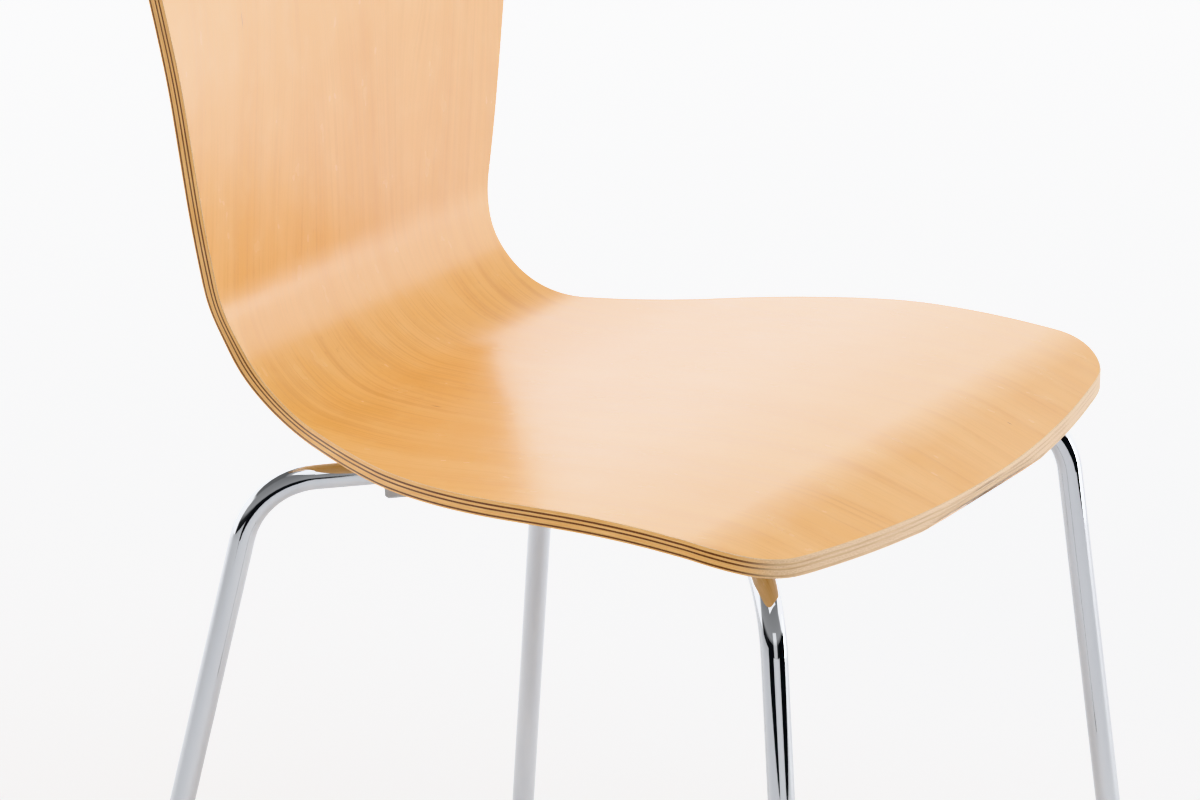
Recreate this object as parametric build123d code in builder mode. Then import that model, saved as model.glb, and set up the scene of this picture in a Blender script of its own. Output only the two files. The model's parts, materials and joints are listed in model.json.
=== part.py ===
from build123d import *
import math
import os

os.makedirs("parts", exist_ok=True)

# A rigid stacking chair: a shell of moulded plywood on two bent, chromed steel tubes.
# Millimetres, +Z up. The sitter faces -Y. The origin is on the floor, on the chair's plane of
# symmetry, halfway between its front feet and the top of its back.
# "Setback" is a distance behind the seat's front edge, "rise" a height above the seat's low point.

# ---- Overall sizes ----
seat_low_z = 442.0          # floor to the seat's low point; its crown is 22 higher
back_rise = 402.0           # seat's low point to the top of the back
seat_depth = 458.0          # front edge to the back, along the seat
front_edge_y = -242.4       # the seat's front edge, from the origin

# ---- Shell, seen from the side: straight runs joined by arcs ----
front_edge_rise = 4.5
knee_setback = 56.7         # where the seat rolls over towards the sitter's calves
knee_rise = 20.2
knee_radius = 150.0
crown_setback = 138.0
crown_rise = 23.4
crown_radius = 780.0
dish_to_bend = 45.0         # the seat's low point, in front of the bend into the back
dish_radius = 650.0
bend_radius = 75.0          # seat into back, on the sitter's side
lower_lean = 0.9            # degrees back from upright
lumbar_rise = 235.0
lumbar_radius = 600.0
upper_lean = 10.0

# ---- Shell, seen from above and from the front ----
front_width = 424.0
seat_width = 433.0
front_bow = 31.0            # how far the front edge curves back at its ends
front_corner_radius = 50.0
side_turn_setback = 240.0   # the sides turn in towards the waist here
side_turn_radius = 340.0
waist_width = 270.0
waist_radius = 132.0
waist_angle = 52.0          # degrees round the bend to the waist's narrowest line
flare_radius = 78.0         # from the waist into the back
shoulder_rise = 110.0
shoulder_width = 304.0
shoulder_radius = 900.0
upper_rise = 270.0
upper_width = 357.0
upper_radius = 900.0
back_width = 372.0
top_bow = 14.0
top_corner_radius = 70.0
outline_margin = 110.0      # how far the outlines' prisms stand clear of the shell

# ---- Veneers, from the sitter's side down ----
plies = {
    "face_ply": 2.2,
    "upper_cross_ply": 1.2,
    "upper_core_ply": 1.5,
    "centre_cross_ply": 1.1,
    "centre_core_ply": 2.8,
    "lower_cross_ply": 1.1,
    "back_ply": 1.1,
}

# ---- Leg frame ----
tube_diameter = 16.0
tube_wall = 1.5
bend_centreline = 50.0      # every bend of the tubes
hub_before_middle = 11.25   # where the four arms would meet, ahead of the middle of their ends
frame_tilt = 4.5            # degrees, down towards the back
front_arm_x = 171.0
front_arm_setback = 43.5
rear_arm_x = 159.0
rear_arm_to_back = 37.0
front_foot_x = 204.6
front_foot_setback = -8.7
rear_foot_x = 224.8
rear_foot_behind_back = 35.6

# ---- Mounting plate, block and screws ----
block_width = 140.0
block_thickness = 14.0      # at the hub
block_corner = 14.0
plate_width = 150.0
plate_thickness = 3.0
plate_corner = 22.0
trim_height = 60.0          # blanks of the block and buffers, before the shell trims them
screw_clear_of_bend = 2.5   # washers, from the tubes' bends at the hub
screw_diameter = 6.0
screw_head_diameter = 12.0
screw_head_height = 3.6
screw_head_round = 1.4
socket_across_flats = 4.0
socket_depth = 2.2
washer_diameter = 18.0
washer_thickness = 1.2
insert_diameter = 9.0
insert_length = 8.0
insert_pocket_depth = 9.5
screw_clearance = 0.3       # screw in plate and washer, on the radius
thread_clearance = 0.05     # screw in insert, on the radius
weld_clear_of_bend = 3.0    # the welds run along each arm from its bend at the hub
weld_inside_plate = 3.0     # to the plate's edge
weld_root = 2.9             # how near the bead gets to the line where tube and plate touch
weld_overhang = 1.1         # how far it stands out past the tube, on the plate
weld_toe_angle = 30.0       # degrees above the tube's axis, where the bead ends on the tube

# ---- Stacking buffers and foot glides ----
buffer_reach_front = 150.0  # from the hub, along the arm
buffer_reach_rear = 163.0
buffer_length = 30.0
buffer_width = 27.0
buffer_below_tube = 6.0
buffer_round = 3.0
buffer_chamfer = 1.5
buffer_snap = 1.6           # its slot is this much narrower than the tube on each side
plastic_clearance = 0.1
glide_wall = 1.6
glide_skirt = 9.0
glide_base = 6.0
glide_plug = 16.0
glide_round = 0.8

# ---- Derived places ----
shell_thickness = sum(plies.values())
line_step = 1e-9            # how finely a place on a line is found, as a share of the line
least_straight = 1.0        # shortest straight run left beside an arc
back_y = front_edge_y + seat_depth
tube_radius = tube_diameter / 2
bore_radius = tube_radius - tube_wall


def behind(setback):
    """The Y of a place that lies this far behind the seat's front edge."""
    return front_edge_y + setback


def lean(rise, degrees):
    """How far a run that leans back by some degrees moves over a rise."""
    return rise * math.tan(math.radians(degrees))


def fitting_radii(corners, radii, kept_at_end=0.0):
    """The radii of a line's arcs, each as asked for, or as large as its two runs have room for."""
    fitted = []
    taken = 0.0
    last = len(radii) - 1
    for i, (a, corner, b, radius) in enumerate(zip(corners, corners[1:], corners[2:], radii)):
        run_in, run_out = corner - a, b - corner
        shape = math.tan(math.radians(run_in.get_angle(run_out)) / 2)
        room_in = run_in.length - taken - least_straight
        room_out = run_out.length - kept_at_end - least_straight if i == last else run_out.length / 2
        taken = min(radius * shape, room_in, room_out)
        fitted.append(taken / shape)
    return fitted


lumbar_y = back_y + lean(lumbar_rise, lower_lean)
face_corners = [
    Vector(front_edge_y, seat_low_z + front_edge_rise),
    Vector(behind(knee_setback), seat_low_z + knee_rise),
    Vector(behind(crown_setback), seat_low_z + crown_rise),
    Vector(back_y - bend_radius - dish_to_bend, seat_low_z),
    Vector(back_y, seat_low_z),
    Vector(lumbar_y, seat_low_z + lumbar_rise),
    Vector(lumbar_y + lean(back_rise - lumbar_rise, upper_lean), seat_low_z + back_rise),
]
face_radii = fitting_radii(
    face_corners, [knee_radius, crown_radius, dish_radius, bend_radius, lumbar_radius]
)


def layer_corners(depth):
    """Corners of the shell's side line at a depth below the sitter's face."""
    runs = [(b - a).normalized() for a, b in zip(face_corners, face_corners[1:])]
    downs = [Vector(run.Y, -run.X) for run in runs]
    corners = [face_corners[0] + downs[0] * depth]
    for corner, before, after in zip(face_corners[1:], downs, downs[1:]):
        corners.append(corner + (before + after) * (depth / (1 + before.dot(after))))
    corners.append(face_corners[-1] + downs[-1] * depth)
    return corners


def layer_radii(depth):
    """Radii of the same line: arcs that bulge towards the sitter tighten, the others open."""
    radii = []
    for a, corner, b, radius in zip(face_corners, face_corners[1:], face_corners[2:], face_radii):
        turns_down = (corner - a).cross(b - corner).Z < 0
        radii.append(radius - depth if turns_down else radius + depth)
    return radii


def layer_line(depth):
    return FilletPolyline(*layer_corners(depth), radius=layer_radii(depth))


# ---- Shell outline: one prism for the seat, one for the back, met at the waist's narrowest line ----
def corner_before(sidestep, length, radius):
    """How far before its end an arc has its corner, when it eases a slanting run into a straight one.

    The two runs together step aside and cover a length, and the arc stops exactly at their end.
    """
    span = 2 * radius - sidestep
    return radius * (length - math.sqrt(length**2 - sidestep * span)) / span


waist_turn = math.radians(waist_angle)
waist_plane = Plane(
    origin=(0, back_y - bend_radius, seat_low_z + bend_radius),
    x_dir=(1, 0, 0),
    z_dir=(0, math.cos(waist_turn), math.sin(waist_turn)),
)
waist_y = back_y - bend_radius * (1 - math.sin(waist_turn))
waist_rise = bend_radius * (1 - math.cos(waist_turn))
waist_half = waist_width / 2
waist_corner_y = waist_y - corner_before(
    seat_width / 2 - waist_half, waist_y - behind(side_turn_setback), waist_radius
)
flare_corner_rise = waist_rise + corner_before(
    shoulder_width / 2 - waist_half, shoulder_rise - waist_rise, flare_radius
)

with BuildPart() as seat_outline:
    with BuildSketch(Plane.XY.offset(seat_low_z - outline_margin)) as seat_plan:
        half_side = [
            Vector(front_width / 2, behind(front_bow)),
            Vector(seat_width / 2, behind(side_turn_setback)),
            Vector(waist_half, waist_corner_y),
            Vector(waist_half, back_y + outline_margin),
        ]
        side_radii = fitting_radii(half_side, [side_turn_radius, waist_radius])
        with BuildLine():
            left_side = FilletPolyline(*half_side, radius=side_radii)
            right_side = FilletPolyline(*[Vector(-p.X, p.Y) for p in half_side], radius=side_radii)
            ThreePointArc(left_side @ 0, (0, front_edge_y), right_side @ 0)
            Line(left_side @ 1, right_side @ 1)
        make_face()
        fillet(seat_plan.vertices().group_by(Axis.Y)[0], front_corner_radius)
    extrude(amount=2 * outline_margin)
    split(bisect_by=waist_plane, keep=Keep.BOTTOM)

with BuildPart() as back_outline:
    with BuildSketch(Plane.XZ.offset(-back_y - outline_margin)) as back_face:
        half_side = [
            Vector(waist_half, seat_low_z - outline_margin),
            Vector(waist_half, seat_low_z + flare_corner_rise),
            Vector(shoulder_width / 2, seat_low_z + shoulder_rise),
            Vector(upper_width / 2, seat_low_z + upper_rise),
            Vector(back_width / 2, seat_low_z + back_rise - top_bow),
        ]
        side_radii = fitting_radii(
            half_side, [flare_radius, shoulder_radius, upper_radius], kept_at_end=top_corner_radius
        )
        with BuildLine():
            left_side = FilletPolyline(*half_side, radius=side_radii)
            right_side = FilletPolyline(*[Vector(-p.X, p.Y) for p in half_side], radius=side_radii)
            ThreePointArc(left_side @ 1, (0, seat_low_z + back_rise), right_side @ 1)
            Line(left_side @ 0, right_side @ 0)
        make_face()
        fillet(back_face.vertices().group_by(Axis.Y)[-1], top_corner_radius)
    extrude(amount=2 * outline_margin)
    split(bisect_by=waist_plane, keep=Keep.TOP)

with BuildPart() as shell_outline:
    add(seat_outline.part)
    add(back_outline.part)

# ---- Plies ----
depth = 0.0
for ply_name, ply_thickness in plies.items():
    with BuildPart() as ply:
        with BuildSketch(Plane.YZ):
            with BuildLine():
                upper_line = layer_line(depth)
                lower_line = layer_line(depth + ply_thickness)
                Line(upper_line @ 0, lower_line @ 0)
                Line(upper_line @ 1, lower_line @ 1)
            make_face()
        extrude(amount=seat_width, both=True)
        add(shell_outline.part, mode=Mode.INTERSECT)
    depth += ply_thickness
    ply.part.label = ply_name
    export_step(ply.part, f"parts/{ply_name}.step")

# The room above the shell's underside: whatever meets the shell from below is trimmed by it.
with BuildPart() as above_underside:
    with BuildSketch(Plane.YZ):
        with BuildLine():
            underside = layer_line(shell_thickness)
            front_end = underside @ 0
            top_end = underside @ 1
            Polyline(top_end, (front_end.X, top_end.Y), front_end)
        make_face()
    extrude(amount=seat_width, both=True)


def underside_z(y):
    """Height of the shell's underside at some Y, found by halving its line again and again."""
    low, high = 0.0, 1.0
    while high - low > line_step:
        middle = (low + high) / 2
        if (underside @ middle).X < y:
            low = middle
        else:
            high = middle
    return (underside @ low).Y


# ---- Places of the leg frame ----
front_arm_y = behind(front_arm_setback)
rear_arm_y = back_y - rear_arm_to_back
hub_y = (front_arm_y + rear_arm_y) / 2 - hub_before_middle
tilt_slope = math.tan(math.radians(frame_tilt))
plate_to_axis = plate_thickness + tube_radius
axis_height_at_hub = underside_z(hub_y) - block_thickness - plate_to_axis


def arm_point(x, y):
    """A point of the sloping plane that the four arms lie in."""
    return Vector(x, y, axis_height_at_hub - (y - hub_y) * tilt_slope)


frame_normal = Vector(0, tilt_slope, 1).normalized()
hub = arm_point(0, hub_y)
frame_axis = Axis(hub, frame_normal)
arms = {
    "front_right": (-front_arm_x, front_arm_y),
    "front_left": (front_arm_x, front_arm_y),
    "rear_right": (-rear_arm_x, rear_arm_y),
    "rear_left": (rear_arm_x, rear_arm_y),
}
feet = {
    "front_right": Vector(-front_foot_x, behind(front_foot_setback), 0),
    "front_left": Vector(front_foot_x, behind(front_foot_setback), 0),
    "rear_right": Vector(-rear_foot_x, back_y + rear_foot_behind_back, 0),
    "rear_left": Vector(rear_foot_x, back_y + rear_foot_behind_back, 0),
}
arm_ends = {corner: arm_point(*place) for corner, place in arms.items()}
leg_up = {corner: (arm_ends[corner] - feet[corner]).normalized() for corner in feet}
tube_ends = {corner: feet[corner] + leg_up[corner] * glide_base for corner in feet}


def along_arm(corner):
    """The direction of an arm, from the hub outwards."""
    return (arm_ends[corner] - hub).normalized()


def hub_bend(corner):
    """From the hub: the middle of the bend that joins an arm to its pair, and the bend's end."""
    outwards = along_arm(corner)
    sine = abs(outwards.X)
    return bend_centreline / sine - bend_centreline, bend_centreline * math.sqrt(1 - sine**2) / sine


def arm_plane(corner, reach_from_hub):
    """A plane on an arm's axis: X runs outwards along the arm, Z is square to the frame."""
    outwards = along_arm(corner)
    return Plane(origin=hub + outwards * reach_from_hub, x_dir=outwards, z_dir=frame_normal)


# ---- Leg tubes: foot, arm, hub, arm, foot in one bent tube ----
for pair in ("front", "rear"):
    right, left = f"{pair}_right", f"{pair}_left"
    with BuildPart() as leg_tube:
        with BuildLine() as tube_path:
            FilletPolyline(
                tube_ends[right], arm_ends[right], hub, arm_ends[left], tube_ends[left],
                radius=bend_centreline,
            )
        with BuildSketch(Plane(origin=tube_ends[right], z_dir=leg_up[right])):
            Circle(tube_radius)
            Circle(bore_radius, mode=Mode.SUBTRACT)
        sweep(path=tube_path.line)
    tube_section = math.pi * (tube_radius**2 - bore_radius**2)
    tube_length = tube_path.wire().length
    volume_share = leg_tube.part.volume / (tube_section * tube_length)
    print(f"{pair} tube: {tube_length:.1f} mm long, volume over section times length {volume_share:.4f}")
    leg_tube.part.label = f"{pair}_leg_tube"
    export_step(leg_tube.part, f"parts/{pair}_leg_tube.step")

# ---- Mounting plate, on the tubes ----
plate_bottom = Plane(origin=hub + frame_normal * tube_radius, x_dir=(1, 0, 0), z_dir=frame_normal)
plate_top = plate_bottom.offset(plate_thickness)
bend_reach = max(hub_bend(corner)[0] for corner in arms)
screw_circle_radius = bend_reach + tube_radius + washer_diameter / 2 + screw_clear_of_bend

with BuildPart() as mounting_plate:
    with BuildSketch(plate_bottom):
        RectangleRounded(plate_width, plate_width, plate_corner)
        with PolarLocations(screw_circle_radius, 4):
            Circle(screw_diameter / 2 + screw_clearance, mode=Mode.SUBTRACT)
    extrude(amount=plate_thickness)
mounting_plate.part.label = "mounting_plate"
export_step(mounting_plate.part, "parts/mounting_plate.step")

# ---- Mounting block, glued under the shell ----
with BuildPart() as mounting_block:
    with BuildSketch(plate_top):
        RectangleRounded(block_width, block_width, block_corner)
    extrude(amount=trim_height)
    add(above_underside.part, mode=Mode.SUBTRACT)
    with BuildSketch(plate_top):
        with PolarLocations(screw_circle_radius, 4):
            Circle(insert_diameter / 2)
    extrude(amount=insert_pocket_depth, mode=Mode.SUBTRACT)
mounting_block.part.label = "mounting_block"
export_step(mounting_block.part, "parts/mounting_block.step")

with BuildPart() as threaded_inserts:
    with BuildSketch(plate_top):
        with PolarLocations(screw_circle_radius, 4):
            Circle(insert_diameter / 2)
            Circle(screw_diameter / 2 + thread_clearance, mode=Mode.SUBTRACT)
    extrude(amount=insert_length)
threaded_inserts.part.label = "threaded_inserts"
export_step(threaded_inserts.part, "parts/threaded_inserts.step")

# ---- Washers and screws, from below ----
washer_bottom = plate_bottom.offset(-washer_thickness)
head_bottom = washer_bottom.offset(-screw_head_height)

with BuildPart() as plate_washers:
    with BuildSketch(washer_bottom):
        with PolarLocations(screw_circle_radius, 4):
            Circle(washer_diameter / 2)
            Circle(screw_diameter / 2 + screw_clearance, mode=Mode.SUBTRACT)
    extrude(amount=washer_thickness)
plate_washers.part.label = "plate_washers"
export_step(plate_washers.part, "parts/plate_washers.step")

with BuildPart() as plate_screws:
    with BuildSketch(head_bottom):
        with PolarLocations(screw_circle_radius, 4):
            Circle(screw_head_diameter / 2)
    extrude(amount=screw_head_height)
    fillet(plate_screws.edges().filter_by(GeomType.CIRCLE).group_by(frame_axis)[0], screw_head_round)
    with BuildSketch(head_bottom):
        with PolarLocations(screw_circle_radius, 4):
            RegularPolygon(socket_across_flats / 2, 6, major_radius=False)
    extrude(amount=socket_depth, mode=Mode.SUBTRACT)
    with BuildSketch(washer_bottom):
        with PolarLocations(screw_circle_radius, 4):
            Circle(screw_diameter / 2)
    extrude(amount=washer_thickness + plate_thickness + insert_length)
plate_screws.part.label = "plate_screws"
export_step(plate_screws.part, "parts/plate_screws.step")

# ---- Weld beads between plate and tubes: two along each arm ----
weld_toe = Vector(tube_radius, 0).rotate(Axis.Z, weld_toe_angle)
plate_half = plate_width / 2
plate_corner_reach = math.sqrt(2) * (plate_half - plate_corner) + plate_corner

with BuildPart() as frame_welds:
    for corner in arms:
        outwards = along_arm(corner)
        plate_reach = min(plate_half / max(abs(outwards.X), abs(outwards.Y)), plate_corner_reach)
        first = hub_bend(corner)[1] + weld_clear_of_bend
        weld_length = plate_reach - weld_inside_plate - first
        weld_start = arm_plane(corner, first)
        across = Plane(origin=weld_start.origin, x_dir=weld_start.y_dir, z_dir=weld_start.x_dir)
        with BuildSketch(across):
            for side in (-1, 1):
                with BuildLine():
                    Polyline(
                        (side * weld_root, tube_radius),
                        (side * (tube_radius + weld_overhang), tube_radius),
                        (side * weld_toe.X, weld_toe.Y),
                        close=True,
                    )
                make_face()
            Circle(tube_radius, mode=Mode.SUBTRACT)
        extrude(amount=weld_length)
frame_welds.part.label = "frame_welds"
export_step(frame_welds.part, "parts/frame_welds.step")

# ---- Stacking buffers: clipped over the arms, up against the shell, flat below ----
buffer_reach = {"front": buffer_reach_front, "rear": buffer_reach_rear}
for corner in arms:
    on_arm = arm_plane(corner, buffer_reach[corner.split("_")[0]])
    with BuildPart() as buffer:
        with BuildSketch(on_arm.offset(-tube_radius - buffer_below_tube)):
            RectangleRounded(buffer_length, buffer_width, buffer_round)
        extrude(amount=buffer_below_tube + tube_radius + trim_height)
        chamfer(buffer.faces().sort_by(frame_axis)[0].edges(), buffer_chamfer)
        add(above_underside.part, mode=Mode.SUBTRACT)
        arm_hole = Plane(origin=on_arm.origin, x_dir=on_arm.y_dir, z_dir=on_arm.x_dir)
        with BuildSketch(arm_hole):
            Circle(tube_radius + plastic_clearance)
            with Locations((0, trim_height / 2)):
                Rectangle(tube_diameter - 2 * buffer_snap, trim_height)
        extrude(amount=buffer_length, both=True, mode=Mode.SUBTRACT)
    buffer.part.label = f"{corner}_buffer"
    export_step(buffer.part, f"parts/{corner}_buffer.step")

# ---- Foot glides: a skirt over the tube, a plug inside it, cut flat at the floor ----
for corner in feet:
    tube_end = Plane(origin=tube_ends[corner], z_dir=leg_up[corner])
    with BuildPart() as glide:
        with BuildSketch(tube_end.offset(-glide_base - tube_radius)):
            Circle(tube_radius + glide_wall)
        extrude(amount=glide_base + tube_radius + glide_skirt)
        with BuildSketch(tube_end):
            Circle(tube_radius + plastic_clearance)
            Circle(bore_radius - plastic_clearance, mode=Mode.SUBTRACT)
        extrude(amount=glide_skirt, mode=Mode.SUBTRACT)
        with BuildSketch(tube_end.offset(glide_skirt)):
            Circle(bore_radius - plastic_clearance)
        extrude(amount=glide_plug - glide_skirt)
        split(bisect_by=Plane.XY, keep=Keep.TOP)
        fillet(glide.faces().sort_by(Axis.Z)[0].edges(), glide_round)
    glide.part.label = f"{corner}_glide"
    export_step(glide.part, f"parts/{corner}_glide.step")
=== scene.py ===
# %% [markdown]
# # A stacking chair: lacquered beech plywood on chromed steel tube
#
# The engineering model holds every size. It is loaded first, as a fixed frame, and nothing in it
# is moved. This lesson adds what the eye needs: the soft edge of sanded plywood, the grain of the
# veneers, clear lacquer, bright chrome, and the light of a white studio.

# %% Load the frame
import json
import math

import bmesh
import bpy
import numpy as np
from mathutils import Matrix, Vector


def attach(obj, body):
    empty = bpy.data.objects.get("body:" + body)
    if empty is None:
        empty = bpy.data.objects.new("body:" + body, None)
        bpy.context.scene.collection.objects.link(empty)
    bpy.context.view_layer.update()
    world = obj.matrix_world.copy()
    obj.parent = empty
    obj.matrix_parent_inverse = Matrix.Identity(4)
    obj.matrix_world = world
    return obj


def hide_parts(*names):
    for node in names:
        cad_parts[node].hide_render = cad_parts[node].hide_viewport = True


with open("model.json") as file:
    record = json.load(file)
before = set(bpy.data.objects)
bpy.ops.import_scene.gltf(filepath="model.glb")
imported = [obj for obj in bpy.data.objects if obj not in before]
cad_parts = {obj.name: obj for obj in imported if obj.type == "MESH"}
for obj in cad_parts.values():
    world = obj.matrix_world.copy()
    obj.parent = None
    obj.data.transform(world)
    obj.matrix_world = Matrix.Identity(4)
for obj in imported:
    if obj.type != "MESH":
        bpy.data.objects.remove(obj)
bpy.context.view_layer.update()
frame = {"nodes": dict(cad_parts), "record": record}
nodes = frame["nodes"]
MM = 0.001

# %% [markdown]
# Two small helpers serve every material. Colours are picked as screen colours (sRGB), while
# Blender mixes light in linear values, so one function turns a hex colour into linear numbers.
# Another adds a shader node with its settings and its inputs, each a value or another node's
# output, so that a material reads as a list of what it is made of.

# %% Colour and node helpers
def linear(hex_colour):
    """An sRGB hex colour as linear red, green, blue and an alpha of one."""
    parts = [int(hex_colour[i:i + 2], 16) / 255 for i in (1, 3, 5)]
    curve = [p / 12.92 if p <= 0.04045 else ((p + 0.055) / 1.055) ** 2.4 for p in parts]
    return (*curve, 1.0)


def add_node(tree, kind, inputs=None, **settings):
    """Adds a shader node, sets its properties, and fills or links its inputs."""
    node = tree.nodes.new("ShaderNode" + kind)
    for name, value in settings.items():
        setattr(node, name, value)
    for socket, value in (inputs or {}).items():
        if isinstance(value, bpy.types.NodeSocket):
            tree.links.new(value, node.inputs[socket])
        else:
            node.inputs[socket].default_value = value
    return node


def new_material(name):
    """An empty material and its node tree."""
    material = bpy.data.materials.new(name)
    material.use_nodes = True
    material.node_tree.nodes.clear()
    return material, material.node_tree


def finish_material(tree, shader):
    """Sends a shader's output to the surface."""
    add_node(tree, "OutputMaterial", {"Surface": shader.outputs[0]})

# %% [markdown]
# ## The shell
#
# The shell is seven veneers, glued and pressed in one mould. Each was cut flat and bends only one
# way, so any line straight across the chair is a straight line in the wood, and a veneer rolls out
# flat again without a stretch. Its surface can be built exactly from its rim alone.
# The engineering model has sharp rims. On the chair they are sanded, so the two outer veneers get
# a small round. The sheets are built again here, on the rims of the model's own plies, and each
# carries a flat map in metres, across and along the grain, for its wood pattern to follow.

# %% Read the rims of a ply
SHARP = math.radians(30)        # a ply's broad faces meet its rim at more than this
SAME_PLACE = 0.001 * MM         # points nearer than this are one point


def smooth_patches(mesh):
    """The faces of a mesh in groups that no sharp edge divides, the largest first."""
    waiting = set(mesh.faces)
    patches = []
    while waiting:
        front = [waiting.pop()]
        patch = []
        while front:
            face = front.pop()
            patch.append(face)
            near = {f for e in face.edges if e.calc_face_angle(0) < SHARP for f in e.link_faces}
            front += near & waiting
            waiting -= near
        patches.append(patch)
    return sorted(patches, key=lambda patch: -sum(face.calc_area() for face in patch))


def place_of(point):
    """A point's place in the mesh, rounded so that it can be looked up."""
    return tuple(round(c / SAME_PLACE) for c in point)


def exact_normals(mesh_data):
    """The surface normals that the model gives at each of its points."""
    normals = {}
    for loop, normal in zip(mesh_data.loops, mesh_data.corner_normals):
        point = mesh_data.vertices[loop.vertex_index].co
        normals.setdefault(place_of(point), []).append(normal.vector.copy())
    return normals


def read_rims(node_name):
    """A ply's two rims over its right half, the sitter's side first.

    Each is a list of (point, direction along the rim, broad face's normal, edge's normal), from
    the middle of the front edge to the middle of the top.
    """
    data = nodes[node_name].data
    normals = exact_normals(data)
    mesh = bmesh.new()
    mesh.from_mesh(data)
    bmesh.ops.remove_doubles(mesh, verts=mesh.verts, dist=SAME_PLACE)
    rims = []
    for patch in smooth_patches(mesh)[:2]:
        inside = set(patch)
        facing = sum((face.normal * face.calc_area() for face in patch), Vector())
        towards_sitter = 1 if facing.z > facing.y else -1
        border = {e for f in patch for e in f.edges if e.calc_face_angle(0) >= SHARP}
        rim = []
        for vertex in {v for e in border for v in e.verts}:
            face_guess = sum((f.normal for f in vertex.link_faces if f in inside), Vector())
            edge_guess = sum((f.normal for f in vertex.link_faces if f not in inside), Vector())
            known = normals[place_of(vertex.co)]
            face_normal = max(known, key=face_guess.dot)
            edge_normal = max(known, key=edge_guess.dot)
            along = face_normal.cross(edge_normal).normalized() * towards_sitter
            rim.append((vertex.co.copy(), along, face_normal, edge_normal))
        rim.sort(key=lambda knot: knot[0].y + knot[0].z)
        right = [knot for knot in rim if knot[0].x > MM]
        ends = [(Vector((0, knot[0].y, knot[0].z)), Vector((sign, 0, 0)), *knot[2:])
                for knot, sign in ((rim[0], 1), (rim[-1], -1))]
        rims.append((towards_sitter, [ends[0], *right, ends[1]]))
    mesh.free()
    rims.sort(key=lambda found: -found[0])
    return [rim for _, rim in rims]

# %% [markdown]
# A rim read this way is a list of knots with an exact direction at each, so a cubic curve through
# them follows the model's arcs. It is sampled in three stretches: the front edge, the side, and
# the top. The same counts serve every ply, which keeps their edges flush.

# %% Sample a rim evenly
FRONT_STEPS = 44                # along half of the front edge, and along half of the top
SIDE_STEPS = 210
FINE_STEPS = 8                  # curve points for each knot
CORNER = math.cos(math.radians(45))  # the front turns into the side where the edge faces half way


def sample_rim(rim, finer=1):
    """Points, face normals and edge normals at even steps along a rim's right half."""
    fine = []
    for (p, t, *normals_p), (q, u, *normals_q) in zip(rim, rim[1:]):
        chord = (q - p).length
        for share in np.linspace(0, 1, FINE_STEPS, endpoint=False):
            swing = share**2 * (3 - 2 * share)
            late = share**3 - share**2
            point = p.lerp(q, swing) + chord * (t * (late - share**2 + share) + u * late)
            turned = [a.lerp(b, share).normalized() for a, b in zip(normals_p, normals_q)]
            fine.append([*point, *turned[0], *turned[1]])
    end, _, end_face, end_edge = rim[-1]
    fine = np.array([*fine, [*end, *end_face, *end_edge]])
    reach = np.r_[0, np.cumsum(np.linalg.norm(np.diff(fine[:, :3], axis=0), axis=1))]
    side = np.flatnonzero(np.abs(fine[:, 6]) > CORNER)
    stops = [0, reach[side[0]], reach[side[-1]], reach[-1]]
    steps = [finer * count for count in (FRONT_STEPS, SIDE_STEPS, FRONT_STEPS)]
    stretches = [np.linspace(a, b, n, endpoint=False) for a, b, n in zip(stops, stops[1:], steps)]
    wanted = np.r_[np.concatenate(stretches), reach[-1]]
    even = np.array([np.interp(wanted, reach, column) for column in fine.T]).T
    return even[:, :3], even[:, 3:6], even[:, 6:]

# %% [markdown]
# Unrolling a face is a matter of measuring along its side line: a point's place on the flat
# veneer is how far it lies across, and how far along from the front edge. Rolling up is the same
# table read the other way.

# %% Unroll and roll up
HEIGHT_AND_DEPTH = np.array([0.0, 1.0, 1.0])  # y + z grows all the way from front edge to top


def side_line(points, face_normals):
    """A face's side line as a table: y + z, distance along, point, and face normal."""
    along = np.r_[0, np.cumsum(np.linalg.norm(np.diff(points[:, 1:], axis=0), axis=1))]
    return points @ HEIGHT_AND_DEPTH, along, points, face_normals


def unroll(points, line):
    """Places on the flat veneer, across and along, in metres."""
    return np.array([points[:, 0], np.interp(points @ HEIGHT_AND_DEPTH, line[0], line[1])]).T


def roll_up(flat, line):
    """Points and face normals for places on the flat veneer."""
    _, along, points, face_normals = line
    rolled = [np.interp(flat[:, 1], along, column) for column in points[:, 1:].T]
    normals = [np.interp(flat[:, 1], along, column) for column in face_normals.T]
    return np.array([flat[:, 0], *rolled]).T, np.array(normals).T

# %% [markdown]
# A face that shows is a grid. It has a corner wherever the rim turns from front to side, and the
# points between are blended from its four sides on the flat veneer. A face that is glued to the
# next ply never shows, so rungs from rim to rim are enough to close it.

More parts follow.
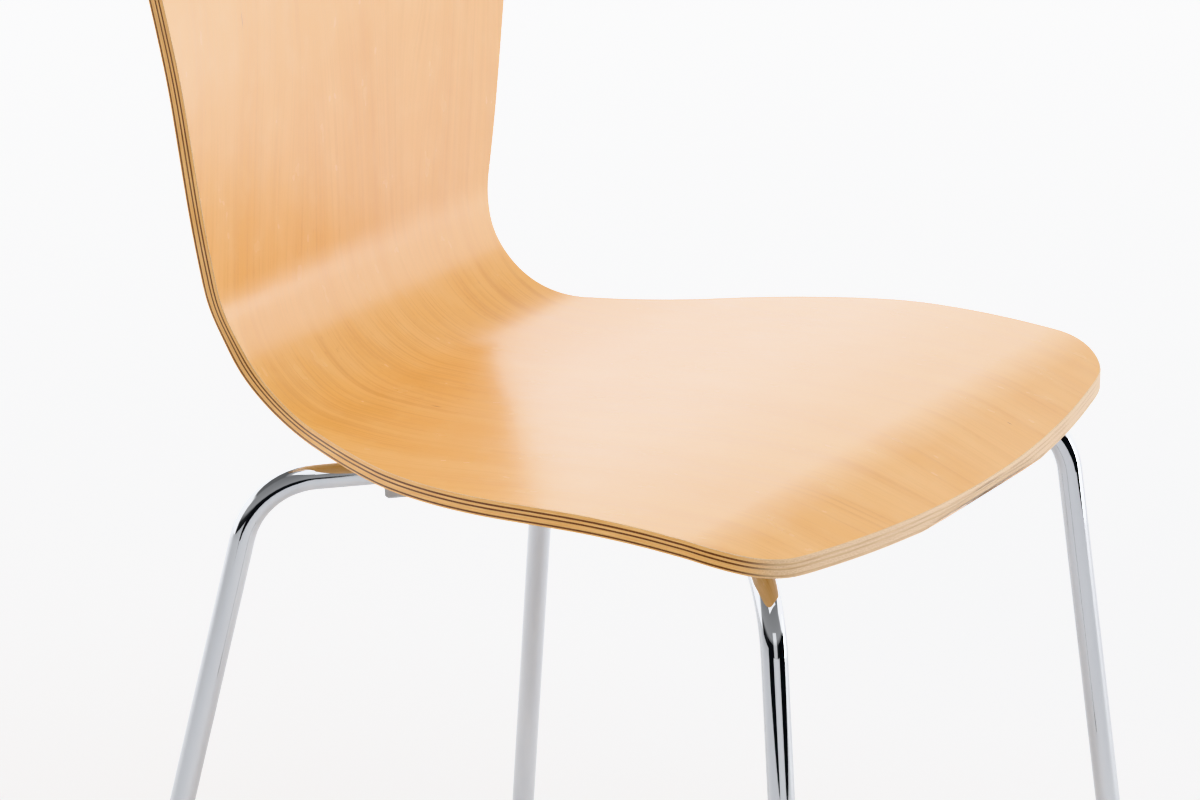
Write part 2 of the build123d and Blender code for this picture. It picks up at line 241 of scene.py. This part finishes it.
# %% Fill a broad face
def shown_face(loop, line, facing_up):
    """The points inside a loop, their normals, and quads that number the loop's points first."""
    flat = unroll(loop, line)
    total, half = len(loop), FRONT_STEPS
    across = np.arange(-half, half + 1)
    ids = np.zeros((len(across), SIDE_STEPS + 1), int)
    own = ids[1:-1, 1:-1]
    own[:] = total + np.arange(own.size).reshape(own.shape)
    ids[:, 0] = across % total
    ids[:, -1] = total // 2 - across
    ids[-1] = half + np.arange(SIDE_STEPS + 1)
    ids[0] = total - ids[-1]
    u = np.linspace(0, 1, len(across))[:, None, None]
    v = np.linspace(0, 1, SIDE_STEPS + 1)[None, :, None]
    front, top, left, right = flat[ids[:, :1]], flat[ids[:, -1:]], flat[ids[:1]], flat[ids[-1:]]
    sides = (1 - v) * front + v * top + (1 - u) * left + u * right
    corners = (1 - v) * ((1 - u) * front[0] + u * front[-1]) + v * ((1 - u) * top[0] + u * top[-1])
    inside = (sides - corners)[1:-1, 1:-1].reshape(-1, 2)
    points, normals = roll_up(inside, line)
    quads = np.stack([ids[:-1, :-1], ids[1:, :-1], ids[1:, 1:], ids[:-1, 1:]], axis=-1).reshape(-1, 4)
    return points, normals, quads if facing_up else quads[:, ::-1]


def glued_face(total, facing_up):
    """Rungs straight across a loop, from each point to its mirror image."""
    right = np.arange(total // 2)
    rungs = np.stack([right, right + 1, total - right - 1, (total - right) % total], axis=-1)
    return rungs if facing_up else rungs[:, ::-1]

# %% [markdown]
# The sanded round on a face that shows is a short curve. It leaves the face in line with it and
# meets the cut edge in line with that, as abrasive paper folded over the edge leaves it.

# %% Round a rim
ROUND_STEPS = 4


def unit(rows):
    return rows / np.linalg.norm(rows, axis=1, keepdims=True)


def rounded(rim, opposite, radius):
    """Rows of points and normals from a broad face, over its rim, to the cut edge."""
    points, face_normals, edge_normals = rim
    if not radius:
        return [(points, edge_normals)]
    outwards = unit(edge_normals - np.sum(edge_normals * face_normals, axis=1)[:, None] * face_normals)
    on_face, on_edge = points - radius * outwards, points + radius * unit(opposite - points)
    rows = []
    for share in np.linspace(0, 1, ROUND_STEPS + 1):
        curve = (1 - share)**2 * on_face + 2 * share * (1 - share) * points + share**2 * on_edge
        rows.append((curve, unit((1 - share) * face_normals + share * edge_normals)))
    return rows

# %% [markdown]
# A ply is then closed all round: its broad faces, its rounds, and the cut edge between. Exact
# normals are kept, because clear lacquer shows the smallest error. The cut edge's map runs along
# the rim and through the thickness.

# %% Build a ply
OTHER_RIM_FINER = 8             # the far rim is sampled finer, and the nearest points are taken
MIRROR = np.array([-1.0, 1.0, 1.0])
FACE, EDGE = 0, 1               # which of a ply's two materials a face takes


def build_ply(name, top_radius, bottom_radius):
    """One veneer as a closed mesh. A face without a radius is a glued one."""
    top_rim, bottom_rim = read_rims(name)
    top, bottom = sample_rim(top_rim), sample_rim(bottom_rim, OTHER_RIM_FINER)
    nearest = [np.argmin(np.sum((bottom[0] - point)**2, axis=1)) for point in top[0]]
    bottom = [column[nearest] for column in bottom]
    rows = rounded(top, bottom[0], top_radius) + rounded(bottom, top[0], bottom_radius)[::-1]
    loops = [[np.vstack([half, (half * MIRROR)[-2:0:-1]]) for half in row] for row in rows]
    points = [loop for loop, _ in loops]
    normals = [loop for _, loop in loops]
    total = len(points[0])

    along = np.r_[0, np.cumsum(np.linalg.norm(np.diff(points[0], axis=0, append=points[0][:1]), axis=1))]
    faces, maps, kinds = [], [], []
    depth = 0.0
    for row in range(len(rows) - 1):
        deeper = depth + np.linalg.norm(points[row + 1][total // 4] - points[row][total // 4])
        for i in range(total):
            j = (i + 1) % total
            faces.append([row * total + i, (row + 1) * total + i, (row + 1) * total + j, row * total + j])
            here, ahead = along[i], along[i + 1]
            maps.append([(here, depth), (here, deeper), (ahead, deeper), (ahead, depth)])
            kinds.append(EDGE)
        depth = deeper

    for first, rim, radius, up in ((0, top, top_radius, True),
                                   ((len(rows) - 1) * total, bottom, bottom_radius, False)):
        line = side_line(rim[0], rim[1])
        loop = points[first // total]
        if radius:
            inside, inside_normals, cells = shown_face(loop, line, up)
        else:
            inside, inside_normals, cells = np.zeros((0, 3)), np.zeros((0, 3)), glued_face(total, up)
        start = sum(len(block) for block in points)
        flat = unroll(np.vstack([loop, inside]), line)
        for cell in cells:
            corners = list(dict.fromkeys(int(c) for c in cell))
            faces.append([first + c if c < total else start + c - total for c in corners])
            maps.append([tuple(flat[c]) for c in corners])
            kinds.append(FACE)
        points.append(inside)
        normals.append(inside_normals)

    mesh = bpy.data.meshes.new(name)
    mesh.from_pydata(np.vstack(points).tolist(), [], faces)
    mesh.uv_layers.new(name="veneer").data.foreach_set("uv", np.concatenate(maps).ravel())
    mesh.polygons.foreach_set("material_index", kinds)
    mesh.polygons.foreach_set("use_smooth", [True] * len(faces))
    mesh.normals_split_custom_set_from_vertices(unit(np.vstack(normals)).tolist())
    return mesh

# %% [markdown]
# ### Lacquered beech
#
# Rotary-cut beech peels off the log in one sheet, so its growth lines wander in long, soft waves,
# and between them lie fine streaks and short brown pores. The eye sees a warm amber wood wherever
# the room mirrored in the lacquer is dim, and a pale, creamy one wherever it is bright. The amber
# is the wood, and the cream is the clear satin coat over it.

# %% Patterns along the grain
SEED_STEP = 3.7                 # how far apart two seeds lie in the noise


def noise(tree, place, size, detail=2.0, seed=0.0):
    """Soft noise whose patches measure size = (first, second) millimetres on the map."""
    scaled = add_node(tree, "Mapping", {
        "Vector": place, "Location": (seed, seed * SEED_STEP, seed),
        "Scale": (1 / (size[0] * MM), 1 / (size[1] * MM), 1.0)})
    return add_node(tree, "TexNoise", {
        "Vector": scaled.outputs[0], "Scale": 1.0, "Detail": detail, "Roughness": 0.55}).outputs[0]


def remap(tree, value, span, onto=(0.0, 1.0)):
    """A value over a span, eased onto another one."""
    return add_node(tree, "MapRange", {
        "Value": value, "From Min": span[0], "From Max": span[1],
        "To Min": onto[0], "To Max": onto[1]}, interpolation_type="SMOOTHSTEP").outputs[0]


def mix(tree, share, a, b):
    """A colour between two others, each a hex colour or another node's output."""
    a, b = (linear(c) if isinstance(c, str) else c for c in (a, b))
    return add_node(tree, "Mix", {"Factor": share, 6: a, 7: b}, data_type="RGBA").outputs[2]


def flat_map(tree):
    """Places on the flat veneer, in metres: across and along the grain."""
    return add_node(tree, "UVMap", uv_map="veneer").outputs[0]

# %% [markdown]
# Broad bands, growth lines, streaks and pores are laid over each other from large to small, each
# in its own real size. They follow one shifted map, so that they wander together. A beech veneer
# also has a few brown flecks, where a twig or an injury once was, and they get places of their own.

# %% Beech veneer under satin lacquer
# Each fleck: across and along the veneer in metres, and half its length in millimetres.
FLECKS = ((-0.0745, 0.3484, 4.5), (-0.1058, 0.665, 6.0), (0.0711, 0.0267, 2.0))
FLECK_HALF_WIDTH = 0.55 * MM


def fleck(tree, place, across, along, half_length):
    """A share that is one in the middle of a small brown fleck at a place on the veneer."""
    centred = add_node(tree, "Mapping", {
        "Vector": place, "Location": (across, along, 0.0),
        "Scale": (FLECK_HALF_WIDTH, half_length * MM, 1.0)}, vector_type="TEXTURE").outputs[0]
    reach = add_node(tree, "VectorMath", {0: centred}, operation="LENGTH").outputs["Value"]
    return remap(tree, reach, (1.2, 0.3), (0, 0.75))


def beech_veneer(name, seed, flecks=()):
    """Beech under its clear coat. Another seed gives another part of the sheet."""
    material, tree = new_material(name)
    place = flat_map(tree)
    wander = noise(tree, place, (110, 500), detail=0.0, seed=seed)
    shift = add_node(tree, "CombineXYZ", {"X": remap(tree, wander, (0.2, 0.8), (-0.022, 0.022))})
    bent = add_node(tree, "VectorMath", {0: place, 1: shift.outputs[0]}, operation="ADD").outputs[0]
    bands = noise(tree, bent, (38, 600), detail=1.0, seed=seed + 1)
    growth = noise(tree, bent, (6.5, 1500), detail=2.0, seed=seed + 2)
    streaks = noise(tree, bent, (1.6, 160), detail=3.0, seed=seed + 3)
    mottle = noise(tree, place, (14, 30), seed=seed + 4)
    pores = noise(tree, bent, (0.5, 6), detail=1.0, seed=seed + 5)

    colour = mix(tree, remap(tree, bands, (0.3, 0.7)), "#E5AB5D", "#EEB870")
    colour = mix(tree, remap(tree, growth, (0.5, 0.72), (0, 0.5)), colour, "#D69B50")
    colour = mix(tree, remap(tree, streaks, (0.4, 0.7), (0, 0.5)), colour, "#CF9450")
    colour = mix(tree, remap(tree, mottle, (0.45, 0.75), (0, 0.2)), colour, "#F2C485")
    colour = mix(tree, remap(tree, pores, (0.6, 0.8), (0, 0.3)), colour, "#B0713A")
    for spot in flecks:
        colour = mix(tree, fleck(tree, place, *spot), colour, "#8A5126")

    sheen = remap(tree, mottle, (0.2, 0.8), (0.22, 0.28))
    shader = add_node(tree, "BsdfPrincipled", {
        "Base Color": colour, "Roughness": 0.5, "IOR": 1.45,
        "Coat Weight": 1.0, "Coat Roughness": sheen, "Coat IOR": 1.6})
    finish_material(tree, shader)
    return material


face_veneer = beech_veneer("lacquered beech veneer", 0.0, FLECKS)
back_veneer = beech_veneer("lacquered beech veneer, back", 11.0)
print("made", face_veneer.name, "and", back_veneer.name)

# %% [markdown]
# ### The layered edge
#
# Along the sides the eye counts the veneers: wide light stripes where the grain runs with the
# edge, and thin brown ones where the crosswise veneers show their open end grain, which drinks
# the lacquer and goes dark. Around the front the roles swap. The lengthwise veneers show their
# end grain, a dull pale tan, and the crosswise ones show long streaks.

# %% Cut edges
def cut_edge(name, side, front, seed, side_line, front_line):
    """side and front are pairs of hex colours, and the lines are the sizes of their patterns."""
    material, tree = new_material(name)
    place = flat_map(tree)
    normal = add_node(tree, "NewGeometry").outputs["Normal"]
    sideways = add_node(tree, "SeparateXYZ", {0: normal}).outputs["X"]
    sideways = add_node(tree, "Math", {0: sideways}, operation="ABSOLUTE").outputs[0]
    at_side = remap(tree, sideways, (0.5, 0.93))
    side_grain = noise(tree, place, side_line, detail=3.0, seed=seed)
    front_grain = noise(tree, place, front_line, detail=3.0, seed=seed + 1)
    patches = noise(tree, place, (60, 3), seed=seed + 2)
    side_colour = mix(tree, remap(tree, side_grain, (0.35, 0.65)), *side)
    front_colour = mix(tree, remap(tree, front_grain, (0.35, 0.65)), *front)
    colour = mix(tree, at_side, front_colour, side_colour)
    colour = mix(tree, remap(tree, patches, (0.45, 0.8), (0, 0.3)), colour, "#B58A5E")
    shader = add_node(tree, "BsdfPrincipled", {
        "Base Color": colour, "Roughness": 0.55, "IOR": 1.45,
        "Coat Weight": 0.3, "Coat Roughness": 0.35, "Coat IOR": 1.5})
    finish_material(tree, shader)
    return material


STREAK, SPECKLE = (28.0, 0.25), (0.9, 0.5)  # millimetres along the rim and through the veneer
long_edge = cut_edge("lacquered beech edge, grain lengthwise", ("#D89C50", "#EDC080"),
                     ("#C2A07C", "#E0C4A0"), 21.0, STREAK, SPECKLE)
cross_edge = cut_edge("lacquered beech edge, grain crosswise", ("#54290C", "#7A4722"),
                      ("#AA8560", "#D8B88E"), 31.0, SPECKLE, STREAK)
print("made", long_edge.name, "and", cross_edge.name)

# %% [markdown]
# The seven plies take their places. The face veneer has its round at the top, and the back veneer
# at the bottom. The other five show only their edges.

# %% Put the shell together
EDGE_ROUND = 0.8 * MM
BACK_ROUND = 0.55 * MM
PLIES = {
    "face_ply": ("face_veneer", EDGE_ROUND, 0, face_veneer, long_edge),
    "upper_cross_ply": ("cross_veneer", 0, 0, cross_edge, cross_edge),
    "upper_core_ply": ("core_veneer", 0, 0, long_edge, long_edge),
    "centre_cross_ply": ("cross_veneer", 0, 0, cross_edge, cross_edge),
    "centre_core_ply": ("core_veneer", 0, 0, long_edge, long_edge),
    "lower_cross_ply": ("cross_veneer", 0, 0, cross_edge, cross_edge),
    "back_ply": ("face_veneer", 0, BACK_ROUND, back_veneer, long_edge),
}
for name, (paint_slot, top_radius, bottom_radius, broad, edge) in PLIES.items():
    mesh = build_ply(name, top_radius, bottom_radius)
    mesh.materials.append(broad)
    mesh.materials.append(edge)
    ply = bpy.data.objects.new(name.replace("_ply", "_veneer"), mesh)
    bpy.context.scene.collection.objects.link(ply)
    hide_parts(name)
    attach(ply, "root")
    print(ply.name, "has", len(mesh.polygons), "faces")

# %% [markdown]
# ## The frame
#
# The legs are steel tube, bent cold, polished, and plated with nickel and chrome. Chrome has
# hardly a colour of its own: it is a mirror that gives back a little over half of the light, with
# a touch of blue. The eye sees the room in it as stripes along the tube. Handling leaves a faint
# haze, so the gloss is not quite even.

# %% Metals
def metal(name, colours, size, roughness, ripple=0.0, ripple_size=(4.0, 4.0)):
    """Two hex colours in patches of a size in millimetres. The ripple is a height, in millimetres too."""
    material, tree = new_material(name)
    place = add_node(tree, "TexCoord").outputs["Object"]
    patches = noise(tree, place, size, detail=4.0)
    inputs = {"Base Color": mix(tree, remap(tree, patches, (0.3, 0.7)), *colours), "Metallic": 1.0,
              "Roughness": remap(tree, patches, (0.3, 0.75), roughness)}
    if ripple:
        waves = noise(tree, place, ripple_size, seed=5.0)
        inputs["Normal"] = add_node(tree, "Bump", {"Height": waves, "Distance": ripple * MM}).outputs[0]
    finish_material(tree, add_node(tree, "BsdfPrincipled", inputs))
    return material


# Polished before plating: an even mirror.
chrome = metal("chromed steel tube", ("#BABCC0", "#C0C2C5"), (30, 30), (0.02, 0.05))
# The bead keeps the ripples of the weld under its plating.
chrome_weld = metal("chromed weld bead", ("#B4B6B9", "#C0C2C5"), (3, 3), (0.06, 0.14), 0.25, (1.6, 1.6))
# The stamped plate is plated with the tubes, but less polished, so its mirror is softer.
chrome_plate = metal("chromed steel plate", ("#B8BABD", "#C1C3C6"), (25, 25), (0.07, 0.13))
# Bright zinc plate on screws and washers: pale and bluish, with a soft grainy sheen.
zinc = metal("zinc-plated steel", ("#B4B8BC", "#C9CDD2"), (1.5, 1.5), (0.24, 0.36))
# Brass turned from bar: warm and yellow, and a little uneven where the tool has passed.
brass = metal("turned brass", ("#BE964E", "#D2AC66"), (0.6, 2.5), (0.22, 0.34))
print("made", ", ".join(made.name for made in (chrome, chrome_weld, chrome_plate, zinc, brass)))

# %% [markdown]
# ## Block, buffers and glides
#
# The spacer block is raw birch plywood, with thin glue lines between its layers. The buffers are
# moulded in grey plastic, and the glides in black nylon. Moulded plastic has a soft, slightly
# uneven sheen from the steel of its mould.

# %% Plywood block and plastics
LAYER = 1.4                     # millimetres


def block_plywood():
    """Raw birch plywood, sawn to size: pale wood with a line at every layer."""
    material, tree = new_material("birch plywood block")
    place = add_node(tree, "TexCoord").outputs["Object"]
    height = add_node(tree, "SeparateXYZ", {0: place}).outputs["Z"]
    layers = add_node(tree, "Math", {0: height, 1: math.pi / (LAYER * MM)}, operation="MULTIPLY")
    layers = add_node(tree, "Math", {0: layers.outputs[0]}, operation="SINE").outputs[0]
    fibres = noise(tree, place, (9, 0.8), detail=4.0)
    colour = mix(tree, remap(tree, layers, (-0.4, 0.4)), "#C9A578", "#E0C49C")
    colour = mix(tree, remap(tree, fibres, (0.35, 0.7), (0, 0.5)), colour, "#AE8758")
    finish_material(tree, add_node(tree, "BsdfPrincipled", {"Base Color": colour, "Roughness": 0.7}))
    return material


def moulded_plastic(name, colours, roughness):
    """Injection-moulded and left as it comes: a cloudy sheen with a fine grit."""
    material, tree = new_material(name)
    place = add_node(tree, "TexCoord").outputs["Object"]
    cloud = noise(tree, place, (5, 5), detail=3.0)
    grit = noise(tree, place, (0.3, 0.3), seed=3.0)
    bump = add_node(tree, "Bump", {"Height": grit, "Strength": 0.3, "Distance": 0.02 * MM})
    finish_material(tree, add_node(tree, "BsdfPrincipled", {
        "Base Color": mix(tree, remap(tree, cloud, (0.3, 0.7)), *colours),
        "Roughness": remap(tree, cloud, (0.3, 0.7), roughness), "Normal": bump.outputs[0]}))
    return material


birch_block = block_plywood()
grey_plastic = moulded_plastic("grey moulded plastic", ("#A3A5A8", "#B0B2B4"), (0.38, 0.5))
black_nylon = moulded_plastic("black nylon", ("#1E1F21", "#2A2B2D"), (0.42, 0.55))
print("made", ", ".join(made.name for made in (birch_block, grey_plastic, black_nylon)))

# %% [markdown]
# Every other piece keeps the engineering model's own shape, so it needs only its finish. The
# record names a slot for each piece. The welds and the plate are in the frame's slot, and differ
# a little from the polished tubes.

# %% Give the model's own pieces their finish
SLOTS = {
    "block_plywood": birch_block, "chrome_frame": chrome, "zinc_steel": zinc,
    "insert_brass": brass, "grey_plastic": grey_plastic, "glide_plastic": black_nylon,
}
FINISHES = {"frame_welds": chrome_weld, "mounting_plate": chrome_plate}
for part in frame["record"]["subparts"]:
    name = part["node"]
    if name in PLIES:
        continue
    nodes[name].data.materials.clear()
    nodes[name].data.materials.append(FINISHES.get(name, SLOTS[part["material_slot"]]))
    print(name, "is", nodes[name].data.materials[0].name)

# %% [markdown]
# ## The studio
#
# The chair stands on a wide sheet of white floor that brightens towards the back, as a lit studio
# sweep does. It glows a little itself, in place of the lamps that would wash it from behind.

# %% Floor
AWAY = Vector((0.829, 0.559, 0.0))  # across the floor, away from the camera
FLOOR_RADIUS = 9.0
FLOOR_SIDES = 96
GLOW_FROM, GLOW_TO = (-0.6, 4.0), (0.18, 2.0)  # metres along that direction, and the glow there

floor_mesh = bpy.data.meshes.new("floor")
floor_shape = bmesh.new()
bmesh.ops.create_circle(floor_shape, cap_ends=True, segments=FLOOR_SIDES, radius=FLOOR_RADIUS)
floor_shape.to_mesh(floor_mesh)
floor_shape.free()
floor = bpy.data.objects.new("floor", floor_mesh)
bpy.context.scene.collection.objects.link(floor)

sweep, tree = new_material("white studio floor")
spot = add_node(tree, "TexCoord").outputs["Object"]
behind = add_node(tree, "VectorMath", {0: spot, 1: AWAY}, operation="DOT_PRODUCT").outputs["Value"]
mottle = noise(tree, spot, (45, 45), detail=3.0)
finish_material(tree, add_node(tree, "BsdfPrincipled", {
    "Base Color": mix(tree, mottle, "#EDEEF0", "#F2F2F4"), "Roughness": 0.7,
    "Emission Color": linear("#FFFFFF"),
    "Emission Strength": remap(tree, behind, GLOW_FROM, GLOW_TO)}))
floor_mesh.materials.append(sweep)
print("the floor is", 2 * FLOOR_RADIUS, "m wide")

# %% [markdown]
# Low down behind the chair the room is bright, and the lacquer of the seat mirrors that. Above it
# comes a dim band. The bends of the shell mirror that band instead, so they stay amber. Behind the
# camera the room is dark. Each ramp gives the grey of the room at heights from the horizon, 0, to
# straight up, 1.

# %% The room
world = bpy.data.worlds.new("white studio")
world.use_nodes = True
bpy.context.scene.world = world
tree = world.node_tree
tree.nodes.clear()


def ramp(tree, value, stops):
    """Grey levels at places along a value."""
    node = add_node(tree, "ValToRGB", {"Fac": value})
    colours = node.color_ramp
    while len(colours.elements) < len(stops):
        colours.elements.new(0.5)
    for element, (place, level) in zip(colours.elements, stops):
        element.position = place
        element.color = (level, level, level, 1.0)
    return node.outputs["Color"]


FAR_ROOM = ((0.0, 1.0), (0.41, 1.0), (0.52, 0.1), (0.86, 0.1), (0.93, 0.3))
NEAR_ROOM = ((0.0, 0.02), (0.1, 0.03), (0.22, 0.2), (0.86, 0.14), (0.93, 0.3))
NEAR_TO_FAR = (-0.3, 0.05)      # from the near room to the far one, along the same direction
ROOM_STRENGTH = 2.8

direction = add_node(tree, "TexCoord").outputs["Generated"]
up = add_node(tree, "SeparateXYZ", {0: direction}).outputs["Z"]
behind = add_node(tree, "VectorMath", {0: direction, 1: AWAY}, operation="DOT_PRODUCT").outputs["Value"]
room = mix(tree, remap(tree, behind, NEAR_TO_FAR),
           ramp(tree, up, NEAR_ROOM), ramp(tree, up, FAR_ROOM))
light = add_node(tree, "Background", {"Color": room, "Strength": ROOM_STRENGTH})
add_node(tree, "OutputWorld", {"Surface": light.outputs[0]})
print("the room's white has a strength of", ROOM_STRENGTH)

# %% [markdown]
# A large softbox hangs above and in front. A low panel only shows as a soft glow in the lacquer of
# the back. Another, behind the camera, puts a white line between the dark stripes of the chrome.
# A softbox gives its light evenly over its face, so its power is worked out from how bright that
# face should look. Its face looks towards the chair.

# %% Lights
SEAT = Vector((0.0, 0.0, 0.45))


def softbox(name, place, width, height, brightness):
    """A rectangular light that faces the seat. Sizes are in metres."""
    data = bpy.data.lights.new(name, "AREA")
    data.shape = "RECTANGLE"
    data.size = width
    data.size_y = height
    data.energy = brightness * math.pi * width * height
    lamp = bpy.data.objects.new(name, data)
    lamp.location = place
    lamp.rotation_euler = (SEAT - Vector(place)).to_track_quat("-Z", "Y").to_euler()
    bpy.context.scene.collection.objects.link(lamp)
    print(name, "gives", round(data.energy), "W")
    return lamp


softbox("overhead softbox", place=(-0.35, -0.75, 2.85), width=3.0, height=2.6, brightness=1.6)
low_softbox = softbox("low softbox", place=(1.0, -1.36, 0.3), width=0.7, height=0.6, brightness=10.0)
low_softbox.visible_diffuse = False
softbox("panel behind the camera", place=(-2.3, -2.5, 0.9), width=1.5, height=1.4, brightness=0.9)

# %% [markdown]
# Two black cards beside the sitter's right front leg give its chrome the dark stripes. They stand
# outside the view, and only mirrors see them.

# %% Black cards
black_card, tree = new_material("black card")
place = add_node(tree, "TexCoord").outputs["Object"]
finish_material(tree, add_node(tree, "BsdfPrincipled", {
    "Base Color": mix(tree, noise(tree, place, (20, 20)), "#0C0C0D", "#121213"), "Roughness": 0.9}))

CARD_HEIGHT = 0.6
FRONT_LEG = Vector((-0.2, -0.25, 0.0))


def card(name, place, width):
    """An upright card that faces the sitter's right front leg."""
    mesh = bpy.data.meshes.new(name)
    shape = bmesh.new()
    bmesh.ops.create_grid(shape, x_segments=1, y_segments=1, size=0.5)
    shape.to_mesh(mesh)
    shape.free()
    mesh.materials.append(black_card)
    flag = bpy.data.objects.new(name, mesh)
    flag.scale = (width, CARD_HEIGHT, 1.0)
    flag.location = place
    towards_leg = FRONT_LEG - flag.location
    towards_leg.z = 0.0
    flag.rotation_euler = towards_leg.to_track_quat("Z", "Y").to_euler()
    flag.visible_camera = flag.visible_diffuse = flag.visible_shadow = False
    bpy.context.scene.collection.objects.link(flag)
    print(name, "is", round(towards_leg.xy.length, 2), "m from the leg")


card("left_card", place=(-1.64, -0.44, 0.3), width=0.97)
card("right_card", place=(0.15, -1.66, 0.3), width=1.6)

# %% [markdown]
# ## The camera
#
# It stands by the sitter's right front leg, a little above the seat, and looks down over the seat
# at the bend of the shell. A long lens keeps the legs nearly parallel.

# %% Camera
AIM = Vector((0.0, 0.0320, 0.4386))
DISTANCE = 2.7824
AZIMUTH, ELEVATION = math.radians(56), math.radians(20.5)
FOCAL_LENGTH, SENSOR_WIDTH = 135, 36  # millimetres

ahead = Vector((math.sin(AZIMUTH) * math.cos(ELEVATION), math.cos(AZIMUTH) * math.cos(ELEVATION),
                -math.sin(ELEVATION)))
lens = bpy.data.cameras.new("camera")
lens.lens = FOCAL_LENGTH
lens.sensor_width = SENSOR_WIDTH
camera = bpy.data.objects.new("camera", lens)
camera.location = AIM - ahead * DISTANCE
camera.rotation_euler = ahead.to_track_quat("-Z", "Y").to_euler()
bpy.context.scene.collection.objects.link(camera)
bpy.context.scene.camera = camera
bpy.context.scene.view_settings.view_transform = "Khronos PBR Neutral"
print("the camera stands", round(camera.location.z, 2), "m above the floor")
